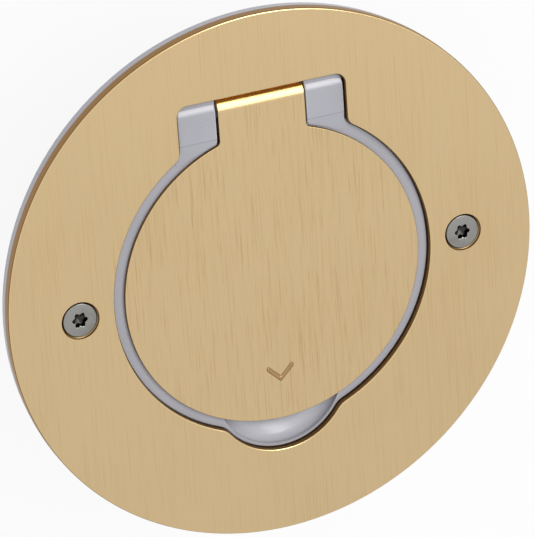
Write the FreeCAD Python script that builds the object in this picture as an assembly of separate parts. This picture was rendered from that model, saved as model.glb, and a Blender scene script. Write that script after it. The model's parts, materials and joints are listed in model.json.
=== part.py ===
import FreeCAD, Part
import math
import os

# Floor socket box: a round brass cover with a hinged brass lid over a plug well.
# Millimetres.  X runs along the hinge axis, +Y towards the hinge, +Z up.
# The origin is on the box's axis at floor level, under the rim of the support frame.

os.makedirs("parts", exist_ok=True)

# ---------------------------------------------------------------- plays and clearances
SCREW_PLAY = 0.03         # radius of a threaded hole over its screw
RUN_PLAY = 0.05           # radius of the hinge bores over the pins
LID_PLAY = 0.4            # between the lid and whatever stands round it
LAND_PLAY = 0.3           # between the frame's land and the cover's opening
SLOT_PLAY = 0.3           # round a contact in its pocket, a carrier in the housing

# ---------------------------------------------------------------- cover
COVER_R = 63.5
COVER_T = 2.2
COVER_BAND = 25.1         # cover's width between its rim and the round opening
EDGE_BREAK = 0.25
OPEN_R = COVER_R - COVER_BAND
OPEN_Y = 0.3              # the opening's circle stands this far off the lid's, towards the hinge

# ---------------------------------------------------------------- support frame
RIM_STEP = 0.3            # the frame's rim stands this far inside the cover's
RIM_R = COVER_R - RIM_STEP
RIM_T = 2.5               # seen as a pale band below the cover
LAND_UP = 0.7             # the land round the lid stands this far above the rim
LAND_Z = RIM_T + LAND_UP
LAND_W = 2.7              # width of the land between the lid and the opening
HUB_DEPTH = 4.0           # spigot that drops into the floor's cut-out
HUB_Z = -HUB_DEPTH
LEDGE_W = 4.4             # ledge that the lid's seal lies on
LEDGE_Z = 0.0
CORE_WALL = 2.5           # walls left round the moulding cores of the underside
CORE_ROOF = 2.0
CORE_RIB = 1.6
COVER_Z = RIM_T
COVER_TOP = COVER_Z + COVER_T

# ---------------------------------------------------------------- lid
LID_T = 0.8
LID_LIFT = 0.15           # the lid plate's underside clears the land by this
LID_BREAK = 0.15
LID_R = OPEN_R - LAND_W
LID_Z = LAND_Z + LID_LIFT
LID_TOP = LID_Z + LID_T
LID_OVERLAP = 0.8         # the lid plate reaches this far over the land
BORE_R = LID_R - LID_OVERLAP
LEDGE_R = BORE_R - LEDGE_W
TAB_HALF = 10.4           # half width of the hinge tab
TAB_ROOT_R = 1.2
BARREL_R = 3.0            # outside of the tab's rolled end
ROLL_END = -75.0          # where the rolled sheet stops, in degrees from +Y
HINGE_OUT = 3.45          # hinge axis beyond the round opening
HINGE_Y = OPEN_R + HINGE_OUT
HINGE_Z = LID_TOP - BARREL_R
PIN_R = 1.0
PIN_LEN = 14.0
PIN_BREAK = 0.2

LID_WEB = 1.6             # the lid body's flat web
LID_BODY_R = BORE_R - LID_PLAY
LID_UNDER = LEDGE_Z + 0.6
LID_RIM_W = 3.6
RIB_T = 1.2
RIB_COUNT = 6
RIB_RINGS = (4.6, 16.6)   # mean radii of the two ring ribs
SEAL_W = 1.6
SEAL_PLAY = 0.1
SEAL_IN = 0.9             # the seal's groove starts this far inside the body's edge
GROOVE_DEPTH = 1.4
KNUCKLE_PLAY = 0.05
KNUCKLE_R = BARREL_R - LID_T - KNUCKLE_PLAY
STUD_R = 1.0
STUD_AT = 24.0
STUD_ANGLES = (90, 210, 330)
STUD_OUT = 1.9            # the studs stand this far out of the web
CLIP_R = 2.6
CLIP_T = 0.5
MARK_Y = -26.5            # raised chevron that points at the finger dish
MARK_HALF = 3.2
MARK_W = 1.3
MARK_RISE = 0.15

# ---------------------------------------------------------------- ears and finger dish
EAR_W = 9.05
EAR_HALF = TAB_HALF + LID_PLAY + EAR_W
EAR_ROUND_R = 3.0         # rounded hinge end of the ears
EAR_END_Y = HINGE_Y + EAR_ROUND_R
EAR_DROP = 0.3            # the ears' flat tops lie this far below the lid's
EAR_TOP = LID_TOP - EAR_DROP
EAR_EDGE_R = 0.4          # rounding of the ears' top edges
EAR_FLAT = 6.25           # flat top in front of the hinge axis
EAR_RAMP = 5.0            # length of the slope from there down to the land
EAR_CORNER_R = 2.2
EAR_FILLET = 3.0
DISH_R = 16.4             # finger dish, outline in plan
DISH_OUT = 4.85           # the dish reaches this far beyond the round opening
DISH_Y = -(OPEN_R + DISH_OUT - DISH_R)
DISH_FILLET = 5.0
DISH_DEPTH = 5.0          # of the whole scoop, part of which is under the lid
DISH_FULL = 3.0           # 2 gives an elliptical bowl, more gives a flatter floor and steeper sides
DISH_STEPS = 12
DISH_LIP = 0.9            # flat lip round the scoop
DISH_KEEP = 0.5           # how far the scoop runs in past the bore's wall

# ---------------------------------------------------------------- cover screws and inserts
SCREW_OUT = 8.25          # screw axis beyond the round opening
SCREW_X = OPEN_R + SCREW_OUT
SCREW_R = 2.0             # M4, countersunk
SCREW_HEAD_R = 3.95
SCREW_LIP = 0.2
SCREW_DROP = 0.35         # the head's flat top lies this far below the cover's face
SCREW_LEN = 16.0
SINK_R = SCREW_HEAD_R + SCREW_LIP + SCREW_DROP
HOLE_R = SINK_R - COVER_T
FRAME_HOLE_R = 2.7
RECESS_R = 0.5            # driver recesses, as shares of their head's radius
RECESS_DEPTH = 0.4
INSERT_WALL = 0.8
INSERT_R = SCREW_R + INSERT_WALL
INSERT_LEN = 8.0

# ---------------------------------------------------------------- housing
SEAL_T = 1.5
WALL = 2.5
LUG_REACH = 2.65          # screw axis outside the housing's wall
LUG_R = 5.2
LUG_DEPTH = 15.0
LUG_PLAY = 0.65           # between the lugs and the floor's cut-out
BOX_R = SCREW_X - LUG_REACH
HUB_R = SCREW_X + LUG_R + LUG_PLAY
BOX_TOP = HUB_Z - SEAL_T
STRAIGHT = 23.5           # height of the straight wall above the taper
BOX_WAIST = BOX_TOP - STRAIGHT
FOOT_BREAK = 1.5
GASKET_T = 1.2
GASKET_W = 4.0
GASKET_IN = 3.2           # from the rim's edge
GASKET_PLAY = 0.2

# ---------------------------------------------------------------- carrier and plug well
CARRIER_DROP = 3.0
CARRIER_TOP = HUB_Z - CARRIER_DROP
CARRIER_T = 2.5
CARRIER_Z = CARRIER_TOP - CARRIER_T
CARRIER_R = BOX_R - WALL - SLOT_PLAY
CARRIER_COLLAR_W = 1.5
POST_R = 3.2
POST_IN = 5.0             # posts stand this far inside the carrier's edge
POST_WEB = 1.8
POST_AT = CARRIER_R - POST_IN
POST_ANGLES = (45, 135, 225, 315)
POST_SCREW_ANGLES = (45, 225)
CARRIER_SCREW_R = 1.5
CARRIER_HEAD_R = 2.8
CARRIER_HEAD_T = 1.8
CARRIER_SCREW_LEN = 9.0
HEAD_SINK = 1.2

WELL_R = 19.6             # plug well
WELL_WALL = 1.7
WELL_PLAY = 0.2
WELL_DEPTH = 17.5
WELL_LEAD = 0.6
FLANGE_W = 3.2
FLANGE_T = 1.2
FLANGE_BREAK = 0.4
FLANGE_R = WELL_R + WELL_WALL + FLANGE_W
WELL_TOP = CARRIER_TOP + FLANGE_T
WELL_FLOOR = WELL_TOP - WELL_DEPTH
FLOOR_T = 2.0
FRONT_Z = WELL_FLOOR - FLOOR_T
KEY_W = 4.8               # side keys that steer the plug
KEY_OUT = 1.6
KEY_DROP = 1.5
WING_R = 3.4
WING_X = FLANGE_R + 2.5
WING_SCREW_R = 1.3
WING_HEAD_R = 2.7
WING_HEAD_T = 1.2
COLLAR_CLEAR = 1.4        # between the wings' screw heads and the carrier's collar
CARRIER_COLLAR_IN = WING_X + WING_HEAD_R + COLLAR_CLEAR
PIN_PITCH = 19.0
PLUG_PIN_R = 2.4
PIN_HOLE_R = PLUG_PIN_R + 0.3
EARTH_SLOT_HALF = 3.4

# ---------------------------------------------------------------- conduit entries
ENTRY_WALL = 2.2
ENTRY_DEPTH = 8.0
ENTRY_SHELF = 2.0         # shelf that stops the conduit
ENTRY_STEP = 2.1          # the shelf's opening is this much smaller than the entry
ENTRY_UNDER = 0.4         # entries stay this far below the carrier
ENTRY_R = 10.1            # front entry, takes a 20 mm conduit
ENTRY_STAND = 6.0         # the entries stand this far out of the housing's wall
ENTRY_OUT = BOX_R + ENTRY_STAND
ENTRY_Z = CARRIER_Z - ENTRY_UNDER - ENTRY_R - ENTRY_WALL
COLLAR_PLAY = 0.1
COLLAR_LIP = 1.7
COLLAR_LIP_T = 1.5
PAD_OUT = 0.4             # flat pad round the front entry, out from the wall
SLOT_CORNER = 0.5         # cut corners of the front slot, as a share of its half width
CABLE_R = 4.5
GROMMET_LIP_T = 1.5
GROMMET_IN = 0.7
SPARE_R = 8.1             # rear entry, takes a 16 mm conduit
SPARE_DEPTH = 6.0
SPARE_STAND = 1.5
SPARE_OUT = BOX_R + SPARE_STAND
SPARE_Z = CARRIER_Z - ENTRY_UNDER - SPARE_R - ENTRY_WALL
PLUG_PLAY = 0.1
PLUG_WALL = 1.5
PLUG_HEAD_T = 1.2
PLUG_FACE_T = 0.3
DRIVER_SLOT_W = 1.2
DRIVER_SLOT_LEN = 9.0
DRIVER_SLOT_DEPTH = 0.8

# ---------------------------------------------------------------- shutter
SHUTTER_T = 1.8
SHUTTER_PLAY = 0.15
SHUTTER_SIDE_PLAY = 0.3
SHUTTER_LAP = 0.5         # the shut bar reaches this far past the pin holes
SHUTTER_HALF_X = PIN_PITCH / 2 + PIN_HOLE_R + 0.8
SHUTTER_HALF_Y = PIN_HOLE_R + SHUTTER_LAP
SHUTTER_TRAVEL = SHUTTER_HALF_Y + PLUG_PIN_R + 0.2
SHUTTER_SLOPE = 2.4
SHUTTER_FOOT = 0.5
SHUTTER_WAIST = 5.5
PEG_HALF = 2.2
PEG_OUT = 0.5
SPRING_R = 0.75
SPRING_WIRE_R = 0.15
SPRING_TURNS = 6
SPRING_PLAY = 0.2

# ---------------------------------------------------------------- contact block
BASE_R = WELL_R + 0.4
BASE_TOP = FRONT_Z - SHUTTER_T - 2 * SHUTTER_PLAY
BASE_T = 11.5
BASE_Z = BASE_TOP - BASE_T
BASE_CLEAR = 4.1          # wiring space under the block
BOX_BOTTOM = BASE_Z - BASE_CLEAR - WALL
BASE_SCREW_R = 1.5
BASE_SCREW_IN = 4.4
BASE_SCREW_Y = BASE_R - BASE_SCREW_IN
BASE_SCREW_CORE_R = 1.25
BASE_HEAD_R = 2.6
BASE_HEAD_T = 1.8
BASE_HEAD_SINK = 2.2
BASE_BOSS_R = 2.8
GUIDE_LAP = 1.1           # the shutter's guide ring starts this far inside the screws' circle
GUIDE_IN = BASE_SCREW_Y - GUIDE_LAP
SLEEVE_WALL = 0.65
SLEEVE_BORE_R = PLUG_PIN_R + 0.05
SLEEVE_R = SLEEVE_BORE_R + SLEEVE_WALL
SLEEVE_LEN = 9.5
SLEEVE_DROP = 0.4
SLEEVE_FLOOR = 1.0
SLEEVE_SLIT = 0.8
CONTACT_WEB = 1.8
CLAMP_HALF = 3.5
CLAMP_X0 = PIN_PITCH / 2 + SLEEVE_R + 0.6
CLAMP_X1 = BASE_R - 0.6
CLAMP_TALL = 7.0
CLAMP_ROOF = 1.2
WIRE_R = 1.6
CLAMP_SCREW_R = 1.5
CLAMP_HEAD_R = 2.4
CLAMP_HEAD_T = 1.6
CLAMP_SLOT_W = 0.7
CLAMP_SLOT_DEPTH = 0.7
EARTH_T = 0.8
EARTH_HALF = 3.0
EARTH_OUT = 0.4           # legs stand this far outside the well's wall
EARTH_BOW = 0.9           # the contacts bow this far into the well
EARTH_UNDER = 0.6
EARTH_CLAMP = 6.2
LEG_Y = WELL_R + WELL_WALL + EARTH_OUT
DRIVER_R = 1.7            # hole in the bracket for the screwdriver
FOOT_CLEAR = 1.2          # the housing's tapered foot clears the earth clamp's screw by this
FOOT_R = LEG_Y + EARTH_T + EARTH_CLAMP + CLAMP_HEAD_T + FOOT_CLEAR + WALL

OVER = 1.0                # how far a cutting tool runs past the face it cuts
FAR = 2 * COVER_R
V = FreeCAD.Vector
UP = V(0, 0, 1)
SIDES = (-1, 1)


# ---------------------------------------------------------------- helpers
def cyl(r, z0, z1, x=0.0, y=0.0):
    return Part.makeCylinder(r, z1 - z0, V(x, y, z0), UP)


def cyl_x(r, x0, x1, y, z):
    return Part.makeCylinder(r, abs(x1 - x0), V(min(x0, x1), y, z), V(1, 0, 0))


def cyl_y(r, y0, y1, x, z):
    return Part.makeCylinder(r, abs(y1 - y0), V(x, min(y0, y1), z), V(0, 1, 0))


def box(x0, x1, y0, y1, z0, z1):
    """Box between two corners, given in any order."""
    low = V(min(x0, x1), min(y0, y1), min(z0, z1))
    return Part.makeBox(abs(x1 - x0), abs(y1 - y0), abs(z1 - z0), low)


def ring(r_in, r_out, z0, z1):
    return cyl(r_out, z0, z1).cut(cyl(r_in, z0 - OVER, z1 + OVER))


def face(points):
    return Part.Face(Part.makePolygon(points + points[:1]))


def revolve(points, x=0.0, y=0.0):
    """Turns a closed (radius, height) outline about a vertical axis at x, y."""
    solid = face([V(r, 0, z) for r, z in points]).revolve(V(0, 0, 0), UP, 360)
    solid.translate(V(x, y, 0))
    return solid


def prism_x(points, half):
    """Extrudes a closed (y, z) outline along X, to both sides of the middle."""
    return face([V(-half, y, z) for y, z in points]).extrude(V(2 * half, 0, 0))


def fuse(shapes):
    return shapes[0].fuse(shapes[1:]).removeSplitter()


def cut(body, tools):
    for tool in tools:
        body = body.cut(tool)
    return body


def round_uprights(solid, corners):
    """Rounds the vertical edges nearest to each (x, y, radius)."""
    for x, y, radius in corners:
        uprights = []
        for edge in solid.Edges:
            a = edge.Vertexes[0].Point
            b = edge.Vertexes[-1].Point
            if math.hypot(a.x - b.x, a.y - b.y) < 1e-4 < abs(a.z - b.z):
                uprights.append((math.hypot(a.x - x, a.y - y), edge))
        nearest = min(distance for distance, edge in uprights)
        solid = solid.makeFillet(radius, [e for d, e in uprights if d < nearest + 1e-3])
    return solid


def polar(radius, degrees):
    a = math.radians(degrees)
    return radius * math.cos(a), radius * math.sin(a)


def span(a, b):
    return min(a, b), max(a, b)


def turned(solid, degrees):
    copy = solid.copy()
    copy.rotate(V(0, 0, 0), UP, degrees)
    return copy


def mirrored_x(solid):
    return solid.mirror(V(0, 0, 0), V(1, 0, 0))


def mirrored_y(solid):
    return solid.mirror(V(0, 0, 0), V(0, 1, 0))


def lobe_recess(head_r, face_z, x=0.0, y=0.0, up=1):
    """Six-lobe driver recess, sized from the screw's head; up is -1 in a head that faces down."""
    low, high = span(face_z - up * RECESS_DEPTH * head_r, face_z + up * OVER)
    r = RECESS_R * head_r
    tools = [cyl(0.72 * r, low, high, x, y)]
    for i in range(6):
        dx, dy = polar(0.7 * r, 60 * i)
        tools.append(cyl(0.3 * r, low, high, x + dx, y + dy))
    return fuse(tools)


def pan_screw(head_r, head_t, shank_r, length, seat_z, x, y, up=1):
    """Screw whose head lies on seat_z and whose shank runs the other way."""
    face_z = seat_z + up * head_t
    head_low, head_high = span(seat_z, face_z)
    shank_low, shank_high = span(seat_z - up * length, seat_z)
    body = fuse([cyl(head_r, head_low, head_high, x, y), cyl(shank_r, shank_low, shank_high, x, y)])
    return body.cut(lobe_recess(head_r, face_z, x, y, up))


def save(name, solids):
    shape = solids[0] if len(solids) == 1 else Part.makeCompound(solids)
    shape.exportStep("parts/" + name + ".step")


# ---------------------------------------------------------------- plan outlines
def opening(z0, z1, inset=0.0):
    """The cover's opening: a circle with a square end for the hinge and a round finger dish."""
    r = OPEN_R - inset
    half = EAR_HALF + LAND_PLAY - inset
    end = EAR_END_Y + LAND_PLAY - inset
    dish_r = DISH_R - inset
    body = fuse([
        cyl(r, z0, z1, 0, OPEN_Y),
        box(-half, half, 0, end, z0, z1),
        cyl(dish_r, z0, z1, 0, DISH_Y),
    ])
    ear_y = OPEN_Y + math.sqrt(r ** 2 - half ** 2)
    # where the dish's circle meets the opening's
    meet_y = (r ** 2 - dish_r ** 2 - OPEN_Y ** 2 + DISH_Y ** 2) / (2 * (DISH_Y - OPEN_Y))
    meet_x = math.sqrt(dish_r ** 2 - (meet_y - DISH_Y) ** 2)
    corners = []
    for side in SIDES:
        corners.append((side * half, end, EAR_CORNER_R + LAND_PLAY - inset))
        corners.append((side * half, ear_y, EAR_FILLET - LAND_PLAY + inset))
        corners.append((side * meet_x, meet_y, DISH_FILLET - LAND_PLAY + inset))
    return round_uprights(body, corners)


def lid_outline(z0, z1, grow=0.0):
    """The lid in plan: a disc with a hinge tab."""
    r = LID_R + grow
    half = TAB_HALF + grow
    body = fuse([cyl(r, z0, z1), box(-half, half, 0, HINGE_Y, z0, z1)])
    root_y = math.sqrt(r ** 2 - half ** 2)
    return round_uprights(body, [(side * half, root_y, TAB_ROOT_R) for side in SIDES])


# ---------------------------------------------------------------- cover plate
def cover_plate():
    plate = cyl(COVER_R, COVER_Z, COVER_TOP).cut(opening(COVER_Z - OVER, COVER_TOP + OVER))
    for side in SIDES:
        plate = plate.cut(revolve([
            (0, COVER_Z - OVER),
            (HOLE_R, COVER_Z - OVER),
            (HOLE_R, COVER_Z),
            (SINK_R, COVER_TOP),
            (SINK_R, COVER_TOP + OVER),
            (0, COVER_TOP + OVER),
        ], side * SCREW_X))
    top = max(plate.Faces, key=lambda f: f.CenterOfMass.z)
    wires = sorted(top.Wires, key=lambda w: w.Length)
    # break the edges of the rim and of the opening, which are the two longest
    return plate.makeChamfer(EDGE_BREAK, wires[-1].Edges + wires[-2].Edges)


def cover_screw(x):
    top = COVER_TOP - SCREW_DROP
    cone = SCREW_HEAD_R - SCREW_R
    tip = top - SCREW_LEN
    point = 0.25 * SCREW_R
    screw = revolve([
        (0, tip),
        (SCREW_R - point, tip),
        (SCREW_R, tip + point),
        (SCREW_R, top - SCREW_LIP - cone),
        (SCREW_HEAD_R, top - SCREW_LIP),
        (SCREW_HEAD_R, top - SCREW_LIP / 2),
        (SCREW_HEAD_R - SCREW_LIP / 2, top),
        (0, top),
    ], x)
    return screw.cut(lobe_recess(SCREW_HEAD_R, top, x))


# ---------------------------------------------------------------- support frame
def hinge_room():
    """The space that the lid's rolled end and tab turn in."""
    half = TAB_HALF + LID_PLAY
    r = BARREL_R + LID_PLAY
    return fuse([
        cyl_x(r, -half, half, HINGE_Y, HINGE_Z),
        box(-half, half, HINGE_Y - r, EAR_END_Y + LAND_PLAY, HINGE_Z, COVER_TOP + OVER),
        box(-half, half, LEDGE_R, HINGE_Y, LEDGE_Z, COVER_TOP + OVER),
    ])


def ears():
    """Both ears: land, ramp, flat top and rounded hinge end, seen from the side."""
    low = LAND_Z - LAND_UP / 2
    ramp_top = HINGE_Y - EAR_FLAT
    ramp_foot = ramp_top - EAR_RAMP
    profile = prism_x([
        (ramp_foot, low),
        (ramp_foot, LAND_Z),
        (ramp_top, EAR_TOP),
        (EAR_END_Y, EAR_TOP),
        (EAR_END_Y, low),
    ], EAR_HALF + OVER)
    half = EAR_HALF + OVER
    waste = box(-half, half, HINGE_Y, EAR_END_Y + OVER, low - OVER, EAR_TOP + OVER)
    waste = waste.cut(cyl_x(EAR_ROUND_R, -half, half, HINGE_Y, EAR_TOP - EAR_ROUND_R))
    solid = opening(low, EAR_TOP, LAND_PLAY).common(profile).cut(waste)
    inner = TAB_HALF + LID_PLAY
    solid = solid.cut(box(-inner, inner, 0, FAR, low - OVER, EAR_TOP + OVER))
    edges = []
    for edge in solid.Edges:
        middle = edge.valueAt((edge.FirstParameter + edge.LastParameter) / 2)
        if middle.z > EAR_TOP - EAR_EDGE_R and edge.BoundBox.YLength > EAR_EDGE_R:
            edges.append(edge)
    return solid.makeFillet(EAR_EDGE_R, edges)


def dish_scoop():
    """Finger scoop: a full, round bowl sunk through the land beside the lid."""
    reach = DISH_R - DISH_LIP
    bottom = LAND_Z - DISH_DEPTH
    points = []
    for i in range(DISH_STEPS + 1):
        turn = math.pi / 2 * i / DISH_STEPS
        r = reach * math.sin(turn) ** (2 / DISH_FULL)
        points.append(V(r, 0, LAND_Z - DISH_DEPTH * math.cos(turn) ** (2 / DISH_FULL)))
    bowl = Part.BSplineCurve()
    bowl.interpolate(points)
    rim = LAND_Z + OVER
    lid = Part.makePolygon([points[-1], V(reach, 0, rim), V(0, 0, rim), points[0]])
    solid = Part.Face(Part.Wire([bowl.toShape()] + lid.Edges)).revolve(V(0, 0, 0), UP, 360)
    solid.translate(V(0, DISH_Y, 0))
    limit = box(-DISH_R, DISH_R, DISH_Y - DISH_R, 0, bottom - OVER, rim + OVER)
    return solid.common(limit).cut(cyl(BORE_R - DISH_KEEP, -FAR, FAR))


def moulding_cores():
    """Hollows in the spigot's underside, between ribs, clear of the ears, the dish and the screws."""
    low = HUB_Z - OVER
    core = ring(LEDGE_R + CORE_WALL, BOX_R - WALL - CORE_WALL, low, LEDGE_Z - CORE_ROOF)
    half = CORE_RIB / 2
    ribs = [turned(box(-FAR, FAR, -half, half, low, 0), angle) for angle in (0, 45, 90, 135)]
    ear_block = box(-EAR_HALF - CORE_WALL, EAR_HALF + CORE_WALL, LEDGE_R - CORE_WALL - OVER, FAR, low, 0)
    dish_block = cyl(DISH_R, low, 0, 0, DISH_Y - LEDGE_W / 2)
    return cut(core, ribs + [ear_block, dish_block])


def support_frame():
    body = fuse([
        cyl(RIM_R, 0, RIM_T),
        cyl(HUB_R, HUB_Z, RIM_T / 2),
        opening(RIM_T / 2, LAND_Z, LAND_PLAY),
        ears(),
    ])
    body = cut(body, [
        cyl(LEDGE_R, HUB_Z - OVER, COVER_TOP + OVER),
        cyl(BORE_R, LEDGE_Z, COVER_TOP + OVER),
        hinge_room(),
        lid_outline(LAND_Z, COVER_TOP + OVER, LID_PLAY),
        dish_scoop(),
        moulding_cores(),
    ])
    gasket_r = RIM_R - GASKET_IN
    body = body.cut(ring(gasket_r - GASKET_W - GASKET_PLAY, gasket_r + GASKET_PLAY, -OVER, GASKET_T))
    slot = PIN_R + SEAL_PLAY
    slot_y = (HINGE_Y - slot, HINGE_Y + slot)
    for side in SIDES:
        ear_in = side * (TAB_HALF + LID_PLAY - OVER)
        ear_out = side * EAR_HALF
        body = cut(body, [
            cyl(FRAME_HOLE_R, HUB_Z - OVER, COVER_TOP, side * SCREW_X),
            cyl_x(PIN_R, ear_in, ear_out + side * OVER, HINGE_Y, HINGE_Z),
            # groove under the cover, through which the pin is pushed in
            box(ear_out, ear_out + side * PIN_LEN, *slot_y, HINGE_Z - slot, RIM_T + LAND_PLAY),
        ])
    return body


def floor_gasket():
    outer = RIM_R - GASKET_IN
    return ring(outer - GASKET_W, outer, 0, GASKET_T)


# ---------------------------------------------------------------- lid
def rolled_end():
    """The tab's end, rolled down round the hinge's knuckle."""
    roll = cyl_x(BARREL_R, -TAB_HALF, TAB_HALF, HINGE_Y, HINGE_Z)
    roll = roll.cut(cyl_x(BARREL_R - LID_T, -TAB_HALF - OVER, TAB_HALF + OVER, HINGE_Y, HINGE_Z))
    reach = 2 * BARREL_R
    dy, dz = polar(reach, ROLL_END)
    kept = [
        (HINGE_Y, HINGE_Z),
        (HINGE_Y + dy, HINGE_Z + dz),
        (HINGE_Y + 2 * reach, HINGE_Z),
        (HINGE_Y + 2 * reach, HINGE_Z + 2 * reach),
        (HINGE_Y, HINGE_Z + 2 * reach),
    ]
    return roll.common(prism_x(kept, TAB_HALF + OVER))


def lift_mark():
    """Raised chevron that points at the finger dish."""
    tip = MARK_Y
    wing = tip + MARK_HALF
    points = [(0, tip), (MARK_HALF, wing), (MARK_HALF, wing + MARK_W),
              (0, tip + MARK_W), (-MARK_HALF, wing + MARK_W), (-MARK_HALF, wing)]
    return face([V(x, y, LID_TOP - LID_T / 2) for x, y in points]).extrude(V(0, 0, LID_T / 2 + MARK_RISE))


def lid_plate():
    flat = lid_outline(LID_Z, LID_TOP)
    top = max(flat.Faces, key=lambda f: f.CenterOfMass.z)
    # the tab's end runs on into the roll, so its edge isn't broken
    edges = [e for e in top.OuterWire.Edges if e.CenterOfMass.y < HINGE_Y - 1e-3]
    flat = flat.makeChamfer(LID_BREAK, edges)
    studs = []
    for angle in STUD_ANGLES:
        x, y = polar(STUD_AT, angle)
        studs.append(cyl(STUD_R, LID_Z - LID_WEB - STUD_OUT, LID_Z + LID_T / 2, x, y))
    return fuse([flat, rolled_end(), lift_mark()] + studs)


def lid_body():
    web_z = LID_Z - LID_WEB
    tab_half = TAB_HALF - RIB_T / 2
    rib_z = LID_UNDER + 0.3
    rib_top = LID_Z - LID_WEB / 4
    rim_in = LID_BODY_R - LID_RIM_W
    # the arm that carries the knuckle, seen from the side
    arm = prism_x([
        (LEDGE_R, web_z),
        (LEDGE_R, LID_Z),
        (HINGE_Y, LID_Z),
        (HINGE_Y, HINGE_Z - 0.8 * KNUCKLE_R),
        (LID_BODY_R + OVER, LID_UNDER + 0.2),
    ], tab_half)
    parts = [
        cyl(LID_BODY_R, web_z, LID_Z),
        ring(rim_in, LID_BODY_R, LID_UNDER, LID_Z),
        arm,
        cyl_x(KNUCKLE_R, -TAB_HALF, TAB_HALF, HINGE_Y, HINGE_Z),
    ]
    for i in range(RIB_COUNT):
        rib = box(RIB_RINGS[0], rim_in + RIB_T / 2, -RIB_T / 2, RIB_T / 2, rib_z, rib_top)
        parts.append(turned(rib, 360 * i / RIB_COUNT))
    for r in RIB_RINGS:
        parts.append(ring(r - RIB_T / 2, r + RIB_T / 2, rib_z, rib_top))
    groove_out = LID_BODY_R - SEAL_IN
    groove_in = groove_out - SEAL_W - 2 * SEAL_PLAY
    tools = [ring(groove_in, groove_out, LID_UNDER - OVER, LID_UNDER + GROOVE_DEPTH)]
    for angle in STUD_ANGLES:
        x, y = polar(STUD_AT, angle)
        tools.append(cyl(STUD_R + SEAL_PLAY, LID_UNDER - OVER, LID_Z + OVER, x, y))
        tools.append(cyl(CLIP_R + SLOT_PLAY, LID_UNDER - OVER, web_z, x, y))
    for side in SIDES:
        inner = side * (EAR_HALF - PIN_LEN - SLOT_PLAY)
        tools.append(cyl_x(PIN_R + RUN_PLAY, inner, side * (TAB_HALF + OVER), HINGE_Y, HINGE_Z))
    return cut(fuse(parts), tools)


def lid_clip(angle):
    """Spring washer pushed on to one of the lid plate's studs."""
    x, y = polar(STUD_AT, angle)
    z = LID_Z - LID_WEB
    dish = 0.6 * CLIP_T
    return revolve([
        (STUD_R, z - CLIP_T - dish),
        (STUD_R + 2 * dish, z - CLIP_T),
        (CLIP_R, z - CLIP_T),
        (CLIP_R, z),
        (STUD_R + 3 * dish, z),
        (STUD_R, z - dish),
    ], x, y)


def lid_seal():
    outer = LID_BODY_R - SEAL_IN - SEAL_PLAY
    return ring(outer - SEAL_W, outer, LEDGE_Z, LID_UNDER + GROOVE_DEPTH)


def hinge_pin(side):
    pin = cyl_x(PIN_R, side * EAR_HALF, side * (EAR_HALF - PIN_LEN), HINGE_Y, HINGE_Z)
    ends = [e for e in pin.Edges if e.Curve.TypeId == "Part::GeomCircle"]
    return pin.makeChamfer(PIN_BREAK, ends)


# ---------------------------------------------------------------- housing
def housing_shape(inset, bottom, top):
    """The housing's round form: a straight wall above a tapered foot."""
    foot = FOOT_R - inset
    waist = BOX_R - inset
    return revolve([
        (0, bottom),
        (foot - FOOT_BREAK, bottom),
        (foot, bottom + FOOT_BREAK),
        (waist, BOX_WAIST),
        (waist, top),
        (0, top),
    ])


def slot_shape(half, y0, y1, above=0.0):
    """Upright slot round the front entry, with cut lower corners and open at the housing's top."""
    low = ENTRY_Z - half
    high = BOX_TOP + above
    corner = half * SLOT_CORNER
    points = [(-half, high), (-half, low + corner), (corner - half, low),
              (half - corner, low), (half, low + corner), (half, high)]
    return face([V(x, y0, z) for x, z in points]).extrude(V(0, y1 - y0, 0))


def housing():
    parts = [housing_shape(0, BOX_BOTTOM, BOX_TOP)]
    lug_z = BOX_TOP - LUG_DEPTH
    for side in SIDES:
        x = side * SCREW_X
        parts.append(cyl(LUG_R, lug_z, BOX_TOP, x))
        parts.append(box(x, side * (BOX_R - WALL), -LUG_R, LUG_R, lug_z, BOX_TOP))
    # flat pad round the front slot
    parts.append(slot_shape(ENTRY_R + ENTRY_WALL + COLLAR_LIP, -(FOOT_R - WALL), -(BOX_R + PAD_OUT)))
    shell = fuse(parts).cut(housing_shape(WALL, BOX_BOTTOM + WALL, BOX_TOP + OVER))
    # posts for the carrier, webbed to the wall, and the rear entry's boss
    inside = []
    for angle in POST_ANGLES:
        x, y = polar(POST_AT, angle)
        inside.append(cyl(POST_R, BOX_WAIST - WALL, CARRIER_Z, x, y))
        web = box(POST_AT, BOX_R - WALL / 2, -POST_WEB / 2, POST_WEB / 2, BOX_WAIST - WALL, CARRIER_Z)
        inside.append(turned(web, angle))
    inside = [piece.common(housing_shape(WALL / 2, BOX_BOTTOM, BOX_TOP)) for piece in inside]
    stop = SPARE_OUT - SPARE_DEPTH
    inside.append(cyl_y(SPARE_R + ENTRY_WALL, stop - ENTRY_SHELF, SPARE_OUT, 0, SPARE_Z))
    body = fuse([shell] + inside)
    tools = [
        cyl_y(SPARE_R, stop, SPARE_OUT + OVER, 0, SPARE_Z),
        cyl_y(SPARE_R - ENTRY_STEP, stop - ENTRY_SHELF - OVER, SPARE_OUT, 0, SPARE_Z),
        slot_shape(ENTRY_R + ENTRY_WALL + COLLAR_PLAY, 0, -(BOX_R + PAD_OUT + OVER), OVER),
    ]
    for side in SIDES:
        tools.append(cyl(INSERT_R, BOX_TOP - INSERT_LEN, BOX_TOP + OVER, side * SCREW_X))
        tools.append(cyl(SCREW_R + SLOT_PLAY, lug_z + WALL, BOX_TOP, side * SCREW_X))
    for angle in POST_SCREW_ANGLES:
        x, y = polar(POST_AT, angle)
        tools.append(cyl(CARRIER_SCREW_R, CARRIER_Z - CARRIER_SCREW_LEN, CARRIER_Z + OVER, x, y))
    return cut(body, tools)


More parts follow.
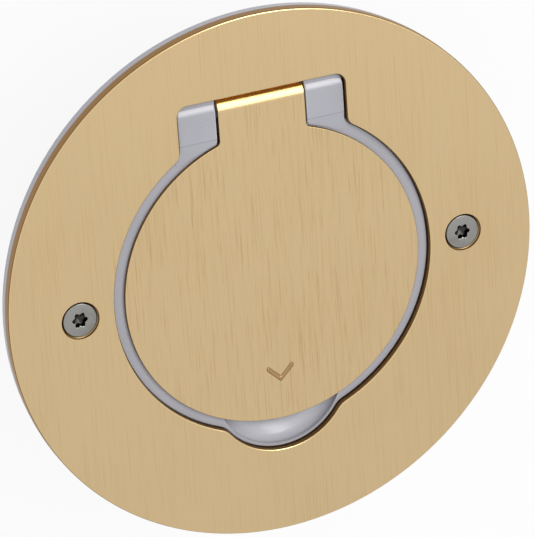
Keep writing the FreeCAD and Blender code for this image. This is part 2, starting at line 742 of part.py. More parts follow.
def housing_seal():
    return ring(BOX_R - WALL, BOX_R, BOX_TOP, HUB_Z)


def threaded_insert(side):
    x = side * SCREW_X
    low = BOX_TOP - INSERT_LEN
    return cyl(INSERT_R, low, BOX_TOP, x).cut(cyl(SCREW_R + SCREW_PLAY, low - OVER, BOX_TOP + OVER, x))


def entry_collar():
    """Collar dropped into the front slot: a lip outside, a tongue that fills the slot, and a shelf inside."""
    outer = ENTRY_R + ENTRY_WALL
    stop = ENTRY_OUT - ENTRY_DEPTH
    pad = BOX_R + PAD_OUT
    tongue = slot_shape(outer, -pad, -(FOOT_R - WALL)).cut(housing_shape(WALL, BOX_BOTTOM, BOX_TOP + OVER))
    body = fuse([
        cyl_y(outer, -ENTRY_OUT, -(stop - ENTRY_SHELF), 0, ENTRY_Z),
        slot_shape(outer + COLLAR_LIP, -(pad + COLLAR_LIP_T), -pad),
        tongue,
    ])
    return cut(body, [
        cyl_y(ENTRY_R, -ENTRY_OUT - OVER, -stop, 0, ENTRY_Z),
        cyl_y(ENTRY_R - ENTRY_STEP, -ENTRY_OUT, 0, 0, ENTRY_Z),
        cyl_y(ENTRY_R, -(stop - ENTRY_SHELF), 0, 0, ENTRY_Z),
    ])


def cable_grommet():
    """Rubber grommet snapped into the collar's shelf."""
    shelf_out = -(ENTRY_OUT - ENTRY_DEPTH)
    shelf_in = shelf_out + ENTRY_SHELF
    body = fuse([
        cyl_y(ENTRY_R - GROMMET_IN, shelf_in, shelf_in + GROMMET_LIP_T, 0, ENTRY_Z),
        cyl_y(ENTRY_R - ENTRY_STEP, shelf_out, shelf_in, 0, ENTRY_Z),
    ])
    return body.cut(cyl_y(CABLE_R, shelf_out - OVER, shelf_in + GROMMET_LIP_T + OVER, 0, ENTRY_Z))


def blanking_plug():
    """Cap that closes the spare entry."""
    stop = SPARE_OUT - SPARE_DEPTH
    face_y = SPARE_OUT + PLUG_HEAD_T
    half_len = DRIVER_SLOT_LEN / 2
    slot_z = (SPARE_Z - DRIVER_SLOT_W / 2, SPARE_Z + DRIVER_SLOT_W / 2)
    body = fuse([
        cyl_y(SPARE_R - PLUG_PLAY, stop, SPARE_OUT, 0, SPARE_Z),
        cyl_y(SPARE_R + ENTRY_WALL, SPARE_OUT, face_y, 0, SPARE_Z),
    ])
    return cut(body, [
        cyl_y(SPARE_R - PLUG_PLAY - PLUG_WALL, stop - OVER, SPARE_OUT - PLUG_FACE_T, 0, SPARE_Z),
        box(-half_len, half_len, face_y - DRIVER_SLOT_DEPTH, face_y + OVER, *slot_z),
    ])


# ---------------------------------------------------------------- socket carrier and plug well
def socket_carrier():
    collar_out = CARRIER_COLLAR_IN + CARRIER_COLLAR_W
    body = fuse([
        cyl(CARRIER_R, CARRIER_Z, CARRIER_TOP),
        ring(CARRIER_COLLAR_IN, collar_out, CARRIER_TOP - CARRIER_T / 2, HUB_Z),
    ])
    tools = [cyl(WELL_R + WELL_WALL + WELL_PLAY, CARRIER_Z - OVER, CARRIER_TOP + OVER)]
    for angle in POST_SCREW_ANGLES:
        x, y = polar(POST_AT, angle)
        tools.append(cyl(CARRIER_HEAD_R + WELL_PLAY, CARRIER_TOP - HEAD_SINK, HUB_Z + OVER, x, y))
        tools.append(cyl(CARRIER_SCREW_R + WELL_PLAY, CARRIER_Z - OVER, CARRIER_TOP, x, y))
    for side in SIDES:
        tools.append(cyl(WING_SCREW_R, CARRIER_Z - OVER, CARRIER_TOP + OVER, side * WING_X))
    return cut(body, tools)


def carrier_screw(angle):
    x, y = polar(POST_AT, angle)
    seat = CARRIER_TOP - HEAD_SINK
    return pan_screw(CARRIER_HEAD_R, CARRIER_HEAD_T, CARRIER_SCREW_R, CARRIER_SCREW_LEN, seat, x, y)


def socket_front():
    well = revolve([
        (0, FRONT_Z),
        (WELL_R + WELL_WALL, FRONT_Z),
        (WELL_R + WELL_WALL, CARRIER_TOP),
        (FLANGE_R, CARRIER_TOP),
        (FLANGE_R, WELL_TOP - FLANGE_BREAK),
        (FLANGE_R - FLANGE_BREAK, WELL_TOP),
        (WELL_R + WELL_LEAD, WELL_TOP),
        (WELL_R, WELL_TOP - WELL_LEAD),
        (WELL_R, WELL_FLOOR),
        (0, WELL_FLOOR),
    ])
    parts = [well]
    tools = []
    for side in SIDES:
        x = side * WING_X
        middle = side * (WELL_R + WELL_WALL + WELL_LEAD)
        parts.append(cyl(WING_R, CARRIER_TOP, WELL_TOP, x))
        parts.append(box(x, middle, -WING_R, WING_R, CARRIER_TOP, WELL_TOP))
        key_in = side * (WELL_R - KEY_OUT)
        key_out = side * (WELL_R + WELL_WALL / 2)
        parts.append(box(key_in, key_out, -KEY_W / 2, KEY_W / 2, WELL_FLOOR, WELL_TOP - KEY_DROP))
        tools.append(cyl(WING_SCREW_R, CARRIER_TOP - OVER, WELL_TOP + OVER, x))
        tools.append(cyl(PIN_HOLE_R, FRONT_Z - OVER, WELL_FLOOR + OVER, side * PIN_PITCH / 2))
        tools.append(cyl(BASE_SCREW_CORE_R, FRONT_Z - OVER, WELL_FLOOR - FLOOR_T / 4, 0, side * BASE_SCREW_Y))
        slot_y = (side * (WELL_R - KEY_OUT), side * (WELL_R + 2 * WELL_WALL))
        tools.append(box(-EARTH_SLOT_HALF, EARTH_SLOT_HALF, *slot_y, WELL_FLOOR + OVER, CARRIER_Z - OVER))
    return cut(fuse(parts), tools)


def front_screw(side):
    length = FLANGE_T + CARRIER_T + WELL_WALL
    return pan_screw(WING_HEAD_R, WING_HEAD_T, WING_SCREW_R, length, WELL_TOP, side * WING_X, 0)


# ---------------------------------------------------------------- shutter
SHUTTER_TOP = FRONT_Z - SHUTTER_PLAY
SHUTTER_Z = SHUTTER_TOP - SHUTTER_T


def socket_shutter():
    """Bar under both pin holes; its sloped edge turns the pins' push into travel along +Y."""
    bar = prism_x([
        (-SHUTTER_HALF_Y, SHUTTER_Z),
        (SHUTTER_HALF_Y, SHUTTER_Z),
        (SHUTTER_HALF_Y, SHUTTER_TOP),
        (-SHUTTER_HALF_Y + SHUTTER_SLOPE, SHUTTER_TOP),
        (-SHUTTER_HALF_Y, SHUTTER_Z + SHUTTER_FOOT),
    ], SHUTTER_HALF_X)
    peg = box(-PEG_HALF, PEG_HALF, SHUTTER_HALF_Y - PEG_OUT, SHUTTER_HALF_Y + PEG_OUT, SHUTTER_Z, SHUTTER_TOP)
    waist = box(-SHUTTER_WAIST, SHUTTER_WAIST, -SHUTTER_HALF_Y - OVER, -SHUTTER_HALF_Y + SHUTTER_SLOPE,
                SHUTTER_Z - OVER, SHUTTER_TOP + OVER)
    return fuse([bar, peg]).cut(waist)


def shutter_spring():
    """Coil between the shutter's peg and the block's screw boss."""
    start = SHUTTER_HALF_Y + PEG_OUT + SPRING_PLAY
    end = BASE_SCREW_Y - BASE_BOSS_R - SPRING_PLAY
    reach = end - start - 2 * SPRING_WIRE_R
    path = Part.makeHelix(reach / SPRING_TURNS, reach, SPRING_R)
    profile = Part.Wire([Part.makeCircle(SPRING_WIRE_R, V(SPRING_R, 0, 0), V(0, 1, 0))])
    coil = Part.Wire(path).makePipeShell([profile], True, True)
    coil.rotate(V(0, 0, 0), V(1, 0, 0), -90)
    coil.translate(V(0, start + SPRING_WIRE_R, SHUTTER_Z + SHUTTER_T / 2))
    return coil


# ---------------------------------------------------------------- contact block
def socket_base():
    guide = ring(GUIDE_IN, BASE_R, BASE_TOP - OVER, FRONT_Z)
    run = box(-SHUTTER_HALF_X - SHUTTER_SIDE_PLAY, SHUTTER_HALF_X + SHUTTER_SIDE_PLAY,
              -SHUTTER_HALF_Y - SHUTTER_SIDE_PLAY, SHUTTER_HALF_Y + SHUTTER_TRAVEL + SHUTTER_SIDE_PLAY,
              BASE_TOP - 2 * OVER, FRONT_Z + OVER)
    parts = [cyl(BASE_R, BASE_Z, BASE_TOP), guide.cut(run)]
    tools = []
    beyond = BASE_R + OVER
    sleeve_low = BASE_TOP - SLEEVE_DROP - SLEEVE_LEN - SLOT_PLAY
    room_top = BASE_Z + CLAMP_TALL + SLOT_PLAY
    for side in SIDES:
        y = side * BASE_SCREW_Y
        parts.append(cyl(BASE_BOSS_R, BASE_TOP - OVER, FRONT_Z, 0, y))
        tools.append(cyl(BASE_SCREW_R, BASE_Z - OVER, FRONT_Z + OVER, 0, y))
        tools.append(cyl(BASE_HEAD_R + SLOT_PLAY, BASE_Z - OVER, BASE_Z + BASE_HEAD_SINK, 0, y))
        x = side * PIN_PITCH / 2
        tools.append(cyl(SLEEVE_R + SLOT_PLAY, sleeve_low, BASE_TOP + OVER, x))
        web_half = CONTACT_WEB / 2 + SLOT_PLAY
        tools.append(box(x, side * beyond, -web_half, web_half, BASE_Z - OVER, room_top))
        room_half = CLAMP_HALF + SLOT_PLAY
        room_in = side * (CLAMP_X0 - SLOT_PLAY)
        tools.append(box(room_in, side * beyond, -room_half, room_half, BASE_Z - OVER, room_top))
    return cut(fuse(parts), tools)


def base_screw(side):
    seat = BASE_Z + BASE_HEAD_SINK
    length = WELL_FLOOR - FLOOR_T / 2 - seat
    return pan_screw(BASE_HEAD_R, BASE_HEAD_T, BASE_SCREW_CORE_R, length, seat, 0, side * BASE_SCREW_Y, up=-1)


def contact(side):
    """Pressed brass: a split sleeve for the pin, a web and a screw clamp for the wire."""
    x = PIN_PITCH / 2
    top = BASE_TOP - SLEEVE_DROP
    low = top - SLEEVE_LEN
    wire_x = (CLAMP_X0 + CLAMP_X1) / 2
    half_web = CONTACT_WEB / 2
    floor = low + SLEEVE_FLOOR
    web_in = x + SLEEVE_BORE_R + SLEEVE_WALL / 2
    body = fuse([
        cyl(SLEEVE_R, low, top, x).cut(cyl(SLEEVE_BORE_R, floor, top + OVER, x)),
        box(web_in, wire_x, -half_web, half_web, BASE_Z + OVER, BASE_Z + CLAMP_TALL),
        box(CLAMP_X0, CLAMP_X1, -CLAMP_HALF, CLAMP_HALF, BASE_Z, BASE_Z + CLAMP_TALL),
    ])
    body = cut(body, [
        box(x - SLEEVE_R - OVER, x, -SLEEVE_SLIT / 2, SLEEVE_SLIT / 2, floor, top + OVER),
        cyl(WIRE_R, BASE_Z - OVER, BASE_Z + CLAMP_TALL - CLAMP_ROOF, wire_x),
        cyl_x(CLAMP_SCREW_R + SCREW_PLAY, wire_x, CLAMP_X1 + OVER, 0, BASE_Z + CLAMP_TALL / 2),
    ])
    return body if side > 0 else mirrored_x(body)


def clamp_screw(seat, wire_mid):
    """Slotted clamp screw along +X, drawn back out of the wire's hole."""
    z = BASE_Z + CLAMP_TALL / 2
    head = seat + CLAMP_HEAD_T
    half = CLAMP_SLOT_W / 2
    screw = fuse([
        cyl_x(CLAMP_SCREW_R, wire_mid + WIRE_R - SLOT_PLAY, seat, 0, z),
        cyl_x(CLAMP_HEAD_R, seat, head, 0, z),
    ])
    return screw.cut(box(head - CLAMP_SLOT_DEPTH, head + OVER, -FAR, FAR, z - half, z + half))


def earth_bracket():
    """Pressed strip: a sprung contact each side of the well, joined under the block."""
    t = EARTH_T
    low = BASE_Z - EARTH_UNDER
    top = CARRIER_Z - 1.5 * OVER
    bow = WELL_R - EARTH_BOW
    mid = (top + WELL_FLOOR) / 2
    foot = WELL_FLOOR + 2 * t
    arm = prism_x([
        (LEG_Y, low - t),
        (LEG_Y, foot),
        (bow, mid - 2 * t),
        (bow, mid + 2 * t),
        (LEG_Y, top),
        (LEG_Y + t, top),
        (LEG_Y + t, top - t / 2),
        (bow + t, mid + 1.7 * t),
        (bow + t, mid - 1.7 * t),
        (LEG_Y + t, foot - t / 3),
        (LEG_Y + t, low - t),
    ], EARTH_HALF)
    bridge = box(-EARTH_HALF, EARTH_HALF, -LEG_Y - t, LEG_Y + t, low - t, low)
    face_y = LEG_Y + t + EARTH_CLAMP
    cage = box(-CLAMP_HALF, CLAMP_HALF, LEG_Y + t / 2, face_y, BASE_Z, BASE_Z + CLAMP_TALL)
    wire_y = LEG_Y + t + EARTH_CLAMP / 2
    tools = [
        cyl(WIRE_R, BASE_Z - OVER, BASE_Z + CLAMP_TALL - CLAMP_ROOF, 0, wire_y),
        cyl_y(CLAMP_SCREW_R + SCREW_PLAY, wire_y, face_y + OVER, 0, BASE_Z + CLAMP_TALL / 2),
    ]
    for side in SIDES:
        tools.append(cyl(DRIVER_R, low - 2 * t, low + t, 0, side * BASE_SCREW_Y))
    return cut(fuse([arm, mirrored_y(arm), bridge, cage]), tools)


def terminal_screws():
    right = clamp_screw(CLAMP_X1, (CLAMP_X0 + CLAMP_X1) / 2)
    seat = LEG_Y + EARTH_T + EARTH_CLAMP
    rear = turned(clamp_screw(seat, seat - EARTH_CLAMP / 2), 90)
    return [right, mirrored_x(right), rear]


# ---------------------------------------------------------------- write the pieces
save("cover_plate", [cover_plate()])
save("support_frame", [support_frame()])
save("floor_gasket", [floor_gasket()])
save("cover_screws", [cover_screw(side * SCREW_X) for side in SIDES])
save("lid_plate", [lid_plate()])
save("lid_body", [lid_body()])
save("lid_clips", [lid_clip(angle) for angle in STUD_ANGLES])
save("lid_seal", [lid_seal()])
save("hinge_pins", [hinge_pin(side) for side in SIDES])
save("housing", [housing()])
save("housing_seal", [housing_seal()])
save("threaded_inserts", [threaded_insert(side) for side in SIDES])
save("entry_collar", [entry_collar()])
save("cable_grommet", [cable_grommet()])
save("blanking_plug", [blanking_plug()])
save("socket_carrier", [socket_carrier()])
save("carrier_screws", [carrier_screw(angle) for angle in POST_SCREW_ANGLES])
save("socket_front", [socket_front()])
save("front_screws", [front_screw(side) for side in SIDES])
save("socket_shutter", [socket_shutter()])
save("shutter_spring", [shutter_spring()])
save("socket_base", [socket_base()])
save("base_screws", [base_screw(side) for side in SIDES])
save("contact_left", [contact(-1)])
save("contact_right", [contact(1)])
save("earth_bracket", [earth_bracket()])
save("terminal_screws", terminal_screws())
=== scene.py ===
import json
import math

import bmesh
import bpy
from mathutils import Matrix, Vector


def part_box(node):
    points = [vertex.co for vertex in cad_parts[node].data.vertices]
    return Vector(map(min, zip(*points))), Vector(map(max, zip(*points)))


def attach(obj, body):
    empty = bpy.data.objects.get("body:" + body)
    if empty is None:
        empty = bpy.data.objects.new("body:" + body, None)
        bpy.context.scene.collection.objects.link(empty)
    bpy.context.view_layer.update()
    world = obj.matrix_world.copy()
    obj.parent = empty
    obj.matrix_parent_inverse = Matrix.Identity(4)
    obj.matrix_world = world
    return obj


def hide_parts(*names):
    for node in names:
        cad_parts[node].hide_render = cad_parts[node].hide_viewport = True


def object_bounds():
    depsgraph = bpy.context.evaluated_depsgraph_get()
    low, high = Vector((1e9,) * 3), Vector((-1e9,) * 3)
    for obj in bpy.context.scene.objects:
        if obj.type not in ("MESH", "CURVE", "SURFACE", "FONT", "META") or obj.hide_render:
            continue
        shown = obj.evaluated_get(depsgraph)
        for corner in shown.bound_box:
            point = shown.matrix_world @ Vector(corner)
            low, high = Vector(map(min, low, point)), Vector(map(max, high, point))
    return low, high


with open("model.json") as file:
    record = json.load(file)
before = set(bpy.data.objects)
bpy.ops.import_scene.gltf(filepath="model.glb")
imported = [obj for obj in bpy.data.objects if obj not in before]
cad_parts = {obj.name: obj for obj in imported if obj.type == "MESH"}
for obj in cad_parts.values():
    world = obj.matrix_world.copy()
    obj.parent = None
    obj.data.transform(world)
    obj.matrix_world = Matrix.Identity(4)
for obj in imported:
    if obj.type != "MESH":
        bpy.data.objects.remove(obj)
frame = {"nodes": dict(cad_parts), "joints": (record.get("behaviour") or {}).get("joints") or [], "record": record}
cad_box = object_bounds()

MM = 0.001
TURN = 2 * math.pi
MEET = 1e-4               # in millimetres: points nearer than this are one point
ARC_STEP = 6.0            # in degrees: longest step round a small arc
SHARP_ANGLE = 35.0        # in degrees: steeper edges stay sharp

# ---------------------------------------------------------------- sizes, in millimetres
def extent(node):
    """A CAD node's lowest and highest corner, in millimetres."""
    low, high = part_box(node)
    return low / MM, high / MM


cover_low, cover_high = extent("cover_plate")
lid_low, lid_high = extent("lid_plate")
screw_low, screw_high = extent("cover_screws")
hinge = next(joint for joint in frame["joints"] if joint["name"] == "lid_hinge")
HINGE_Y, HINGE_Z = (value / MM for value in hinge["pos_m"][1:])

COVER_R = cover_high.x
COVER_Z = cover_low.z
COVER_TOP = cover_high.z
OPEN_R = 38.4
OPEN_Y = 0.3
HINGE_PLAY = 0.3          # round the ears
EAR_HALF = 19.85
EAR_ROUND_R = 3.0
EAR_CORNER_R = 2.5
EAR_FILLET_R = 2.7
EAR_CREASE_Y = 35.4       # crease across the ears, where a line of painted shade is drawn
DISH_R = 16.4
DISH_Y = -26.85
DISH_FILLET_R = 4.7
EDGE_R = 0.4              # rounding of the cover's edges
SINK_R = 4.5
SINK_STEP = 0.5           # depth at which the sink's upright wall turns into its cone
SINK_LIP = 0.12           # the sink's flared top edge
HOLE_R = 2.3
LID_R = -lid_low.y
LID_T = 0.8
BARREL_R = 3.0
LID_TOP = HINGE_Z + BARREL_R
LID_Z = LID_TOP - LID_T
TAB_HALF = 10.4
TAB_ROOT_R = 1.2
LID_EDGE_R = 0.2
LID_BURNISH = 0.3         # the lid is burnished, and painted brighter as a painted highlight, from this far behind the hinge line
TAB_END_R = 0.25          # corners of the flat tab, inside the roll
ROLL_END = -75.0
STUD_R = 1.0
STUD_LEN = 3.5            # below the lid plate's underside
STUD_AT = 24.0
STUD_ANGLES = (90, 210, 330)
STUD_BREAK = 0.2
MARK_Y = -26.5
MARK_HALF = 3.2
MARK_W = 1.3
MARK_CORNER_R = 0.3
MARK_SLOPE = 0.24         # width of the mark's sloping side
MARK_ROOT = 0.06          # its foot, inside the lid plate, spreads this far
SCREW_HEAD_R = 3.95
HEAD_SIDE = 0.2           # the head's upright side, above its cone
HEAD_BREAK = 0.12
SCREW_R = 2.0
SCREW_TIP = 0.5           # chamfer at the tip
SCREW_X = screw_high.x - SCREW_HEAD_R
RECESS_R = 1.6
RECESS_LOBE = 0.3
RECESS_DEPTH = 1.5
AXIS_R = 0.01             # the small closing rings round a screw's axis


# ---------------------------------------------------------------- shader kit
class Wire:
    """An output socket that takes part in arithmetic."""

    def __init__(self, kit, socket):
        self.kit = kit
        self.socket = socket

    def _math(self, operation, *values, clamp=False):
        node = self.kit.tree.nodes.new("ShaderNodeMath")
        node.operation = operation
        node.use_clamp = clamp
        for socket, value in zip(node.inputs, values):
            self.kit.feed(socket, value)
        return Wire(self.kit, node.outputs[0])

    def __add__(self, other):
        return self._math("ADD", self, other)

    def __sub__(self, other):
        return self._math("SUBTRACT", self, other)

    def __rsub__(self, other):
        return self._math("SUBTRACT", other, self)

    def __mul__(self, other):
        return self._math("MULTIPLY", self, other)

    __radd__ = __add__
    __rmul__ = __mul__

    def clamped(self):
        return self._math("ADD", self, 0.0, clamp=True)

    def step(self, low, high):
        """0 below low, 1 above high, smooth between."""
        node = self.kit.tree.nodes.new("ShaderNodeMapRange")
        node.interpolation_type = "SMOOTHSTEP"
        self.kit.feed(node.inputs["Value"], self)
        node.inputs["From Min"].default_value = low
        node.inputs["From Max"].default_value = high
        return Wire(self.kit, node.outputs[0])


class Kit:
    """Builds the nodes of one material or world."""

    def __init__(self, owner):
        owner.use_nodes = True
        self.owner = owner
        self.tree = owner.node_tree
        self.tree.nodes.clear()

    def feed(self, socket, value):
        if isinstance(value, Wire):
            self.tree.links.new(value.socket, socket)
        else:
            socket.default_value = value

    def node(self, kind, inputs=(), output=0, **settings):
        made = self.tree.nodes.new("ShaderNode" + kind)
        for name, value in settings.items():
            setattr(made, name, value)
        for name, value in dict(inputs).items():
            self.feed(made.inputs[name], value)
        return Wire(self, made.outputs[output])

    def place(self, output="Object"):
        return self.node("TexCoord", output=output)

    def axes(self, vector):
        made = self.node("SeparateXYZ", {"Vector": vector})
        outputs = made.socket.node.outputs
        return [Wire(self, outputs[i]) for i in range(3)]

    def scaled(self, vector, factors):
        return self.node("VectorMath", {0: vector, 1: factors}, operation="MULTIPLY")

    def noise(self, vector, scale, detail=2.0, rough=0.5):
        inputs = {"Vector": vector, "Scale": scale, "Detail": detail, "Roughness": rough}
        return self.node("TexNoise", inputs)

    def mix(self, factor, first, second):
        made = self.tree.nodes.new("ShaderNodeMix")
        made.data_type = "RGBA"
        self.feed(made.inputs[0], factor)
        self.feed(made.inputs[6], first)
        self.feed(made.inputs[7], second)
        return Wire(self, made.outputs[2])

    def bump(self, height, distance, strength):
        inputs = {"Height": height, "Distance": distance, "Strength": strength}
        return self.node("Bump", inputs)

    def surface(self, **inputs):
        """Principled shader on the output; sockets are named with _ for a space."""
        shader = self.tree.nodes.new("ShaderNodeBsdfPrincipled")
        for name, value in inputs.items():
            self.feed(shader.inputs[name.replace("_", " ")], value)
        output = self.tree.nodes.new("ShaderNodeOutputMaterial")
        self.tree.links.new(shader.outputs[0], output.inputs["Surface"])
        return self.owner


def rgb(r, g, b):
    """An sRGB colour given as 0-255, as the linear colour that Blender wants."""
    def linear(value):
        c = value / 255
        return c / 12.92 if c <= 0.04045 else ((c + 0.055) / 1.055) ** 2.4
    return (linear(r), linear(g), linear(b), 1.0)


BRASS_FACE = rgb(219, 192, 146)
BRASS_DEEP = rgb(180, 143, 88)
# colour of the rolled end: brighter and warmer, a painted highlight on its burnish
BRASS_ROLLED_HIGHLIGHT = rgb(240, 196, 112)
# painted highlight: pale colour for the rounded edge breaks
BRASS_EDGE_HIGHLIGHT = rgb(244, 218, 160)
# painted shade: dark brown for the upright walls and the gaps beside them
BRASS_WALL_SHADE = rgb(140, 102, 54)
BRASS_MARK = rgb(150, 102, 42)
# painted shade: near black for the screws' recesses and sunk rims
RECESS_SHADE = rgb(44, 41, 38)
# painted light: pale colour for the sloping faces of the mouldings
SLOPE_LIGHT = rgb(222, 222, 228)
# painted shade: dark grey for the line along the ears' crease
CREASE_SHADE = rgb(70, 70, 74)
BEFORE, BEYOND = -1.0, 1.0   # in metres: levels that the part doesn't reach


# ---------------------------------------------------------------- materials
def brushed_brass(name, streak, contrast, burnished_from=BEYOND, mark_above=BEYOND):
    """Brass sheet brushed along Y: fine even grain, painted shade on its walls, and edge breaks burnished and
    painted paler as a highlight.

    Streak is the streaks' frequency along Y, and contrast their strength. From the y given in metres
    on, the sheet is rolled, burnished smooth and painted brighter, a painted highlight. A mark above the z given
    is darker.
    """
    kit = Kit(bpy.data.materials.new(name))
    spot = kit.place()
    hair = kit.noise(kit.scaled(spot, (5200.0, 150.0, 5200.0)), 1.0, 3.0, 0.65)
    lines = kit.noise(kit.scaled(spot, (4200.0, streak, 4200.0)), 1.0, 2.0, 0.6)
    cloud = kit.noise(spot, 32.0, 2.0, 0.5)
    upright = kit.axes(kit.place("Normal"))[2]
    rolled = kit.axes(spot)[1].step(burnished_from, burnished_from + 0.0006)
    flat = 1.0 - rolled
    # painted shade: steep walls are painted dark brown
    wall = (1.0 - upright.step(0.72, 0.84)) * flat
    # painted highlight: edge breaks are painted paler; they are also given a lower roughness below
    edge = upright.step(0.78, 0.88) * (1.0 - upright.step(0.95, 0.995)) * flat
    dark = lines.step(0.5, 0.74) * contrast + (cloud - 0.5) * 0.3 + (hair - 0.5) * 0.5
    marked = kit.axes(spot)[2].step(mark_above, mark_above + 0.00005)
    colour = kit.mix((dark * flat).clamped(), BRASS_FACE, BRASS_DEEP)
    # painted highlight: the burnished roll is painted a brighter, warmer colour
    colour = kit.mix(rolled * 0.8, colour, BRASS_ROLLED_HIGHLIGHT)
    colour = kit.mix(edge * 0.7, colour, BRASS_EDGE_HIGHLIGHT)
    colour = kit.mix(wall * 0.95, colour, BRASS_WALL_SHADE)
    colour = kit.mix(marked * 0.55, colour, BRASS_MARK)
    rough = 0.37 + (hair - 0.5) * 0.22 + (lines - 0.5) * 0.14 - edge * 0.12 - rolled * 0.12
    return kit.surface(
        Base_Color=colour,
        Metallic=1.0,
        Roughness=rough,
        Normal=kit.bump((hair * 0.5 + lines) * flat, 0.00002, 0.35),
    )


def plain_metal(name, colour, dull_colour, roughness, shade_below=BEFORE):
    """Turned or pressed metal with faint smears and soft wear, painted nearly black below a z given in metres as
    painted shade.
    """
    kit = Kit(bpy.data.materials.new(name))
    spot = kit.place()
    smear = kit.noise(spot, 135.0, 3.0, 0.55)
    grit = kit.noise(spot, 2700.0, 2.0, 0.6)
    # painted shade: everything below the given z is painted nearly black
    deep = 1.0 - kit.axes(spot)[2].step(shade_below - 0.0002, shade_below)
    shown = kit.mix(smear.step(0.35, 0.75), colour, dull_colour)
    return kit.surface(
        Base_Color=kit.mix(deep * 0.9, shown, RECESS_SHADE),
        Metallic=1.0,
        Roughness=roughness + (smear - 0.5) * 0.2,
        Normal=kit.bump(grit, 0.00001, 0.3),
    )


def moulding(name, colour, shade, roughness, texture=0.00002, sheen=0.4, slope_light=0.0, crease=BEFORE):
    """Moulded plastic with a faint texture and slow tone changes.

    Its slopes are painted paler by the slope setting, as painted light, and a thin dark line of painted shade runs
    at the y of a crease, given in metres.
    """
    kit = Kit(bpy.data.materials.new(name))
    spot = kit.place()
    tone = kit.noise(spot, 60.0, 2.0, 0.5)
    grit = kit.noise(spot, 3500.0, 2.0, 0.6)
    upright = kit.axes(kit.place("Normal"))[2]
    # painted light: sloping faces are painted paler
    slope = upright.step(0.02, 0.3) * (1.0 - upright.step(0.9, 0.995))
    along = kit.axes(spot)[1]
    middle = crease + 0.0001
    # painted shade: a thin dark line along the crease
    line = along.step(crease, middle) * (1.0 - along.step(middle, crease + 0.0003))
    shown = kit.mix(tone.step(0.3, 0.75) * 0.6, colour, shade)
    shown = kit.mix(slope * slope_light, shown, SLOPE_LIGHT)
    return kit.surface(
        Base_Color=kit.mix(line * 0.4, shown, CREASE_SHADE),
        Roughness=roughness + (tone - 0.5) * 0.12 + (grit - 0.5) * 0.1,
        Specular_IOR_Level=sheen,
        Normal=kit.bump(grit, texture, 0.4),
    )


MATERIALS = {
    "cover": brushed_brass("brushed_brass_cover", 40.0, 0.25),
    "lid": brushed_brass("brushed_brass_lid", 70.0, 0.45, (HINGE_Y + LID_BURNISH) * MM,
                         mark_above=(LID_TOP + 0.02) * MM),
    "plain_brass": plain_metal("plain_brass_soft", rgb(206, 172, 104), rgb(168, 132, 72), 0.3),
    "steel_screw": plain_metal("screw_steel", rgb(160, 159, 154), rgb(132, 130, 125), 0.3,
                               shade_below=(screw_high.z - 0.02) * MM),
    "grey_moulding": moulding("grey_plastic", rgb(172, 172, 178), rgb(162, 162, 168), 0.26,
                              sheen=0.6, slope_light=0.6, crease=EAR_CREASE_Y * MM),
    "dark_moulding": moulding("dark_plastic", rgb(64, 66, 70), rgb(50, 52, 56), 0.5),
    "white_moulding": moulding("white_plastic", rgb(222, 222, 218), rgb(205, 205, 200), 0.35),
    "black_rubber": moulding("soft_rubber", rgb(34, 34, 35), rgb(46, 46, 47), 0.75,
                             texture=0.00004, sheen=0.25),
}
PART_SLOTS = {part["node"]: part["material_slot"] for part in frame["record"]["subparts"]}

for node, cad in frame["nodes"].items():
    slot_name = PART_SLOTS[node]
    cad.data.materials.clear()
    cad.data.materials.append(MATERIALS["cover" if slot_name == "brushed_brass" else slot_name])


# ---------------------------------------------------------------- mesh kit
def smooth(obj):
    obj.data.polygons.foreach_set("use_smooth", [True] * len(obj.data.polygons))
    obj.data.set_sharp_from_angle(angle=math.radians(SHARP_ANGLE))
    modifier = obj.modifiers.new("even_normals", "WEIGHTED_NORMAL")
    modifier.keep_sharp = True
    modifier.weight = 100


def piece(name, bm, material, slot, body, *nodes):
    """Makes an object from a bmesh in millimetres; it rides on a body and stands for its nodes."""
    bmesh.ops.remove_doubles(bm, verts=bm.verts, dist=1e-5)
    bmesh.ops.recalc_face_normals(bm, faces=bm.faces)
    bm.transform(Matrix.Scale(MM, 4))
    mesh = bpy.data.meshes.new(name)
    bm.to_mesh(mesh)
    bm.free()
    obj = bpy.data.objects.new(name, mesh)
    bpy.context.scene.collection.objects.link(obj)
    mesh.materials.append(MATERIALS[material])
    smooth(obj)
    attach(obj, body)
    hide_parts(*nodes)


def outline(arcs, inset):
    """Points of a closed outline: (x, y, r, start, end) arcs in degrees and lines between them.

    An arc that runs backwards is hollow: it grows by the inset while the others shrink.
    """
    points = []
    for x, y, r, start, end in arcs:
        radius = r - inset if end > start else r + inset
        # a large arc gets finer steps
        count = max(2, math.ceil(abs(end - start) * max(1.0, r / 20) / ARC_STEP) + 1)
        for i in range(count):
            a = math.radians(start + (end - start) * i / (count - 1))
            point = (x + radius * math.cos(a), y + radius * math.sin(a))
            # an arc that touches the one before it shares its first point
            if not points or math.dist(point, points[-1]) > MEET:
                points.append(point)
    if math.dist(points[0], points[-1]) < MEET:
        points.pop()
    return points


def mirrored(arcs):
    """A right-hand half of an outline, bottom to top, and its mirror image back down."""
    left = [(-x, y, r, 180 - end, 180 - start) for x, y, r, start, end in reversed(arcs)]
    return arcs + left


def circle(r, x=0.0, y=0.0):
    return [(x, y, r, 0.0, 360.0)]


def rounded_break(radius, top, steps):
    """(inset, height) pairs round a quarter circle, from the wall up on to the top face."""
    pairs = []
    for i in range(steps + 1):
        a = math.pi / 2 * i / steps
        pairs.append((radius * (1 - math.cos(a)), top - radius * (1 - math.sin(a))))
    return pairs


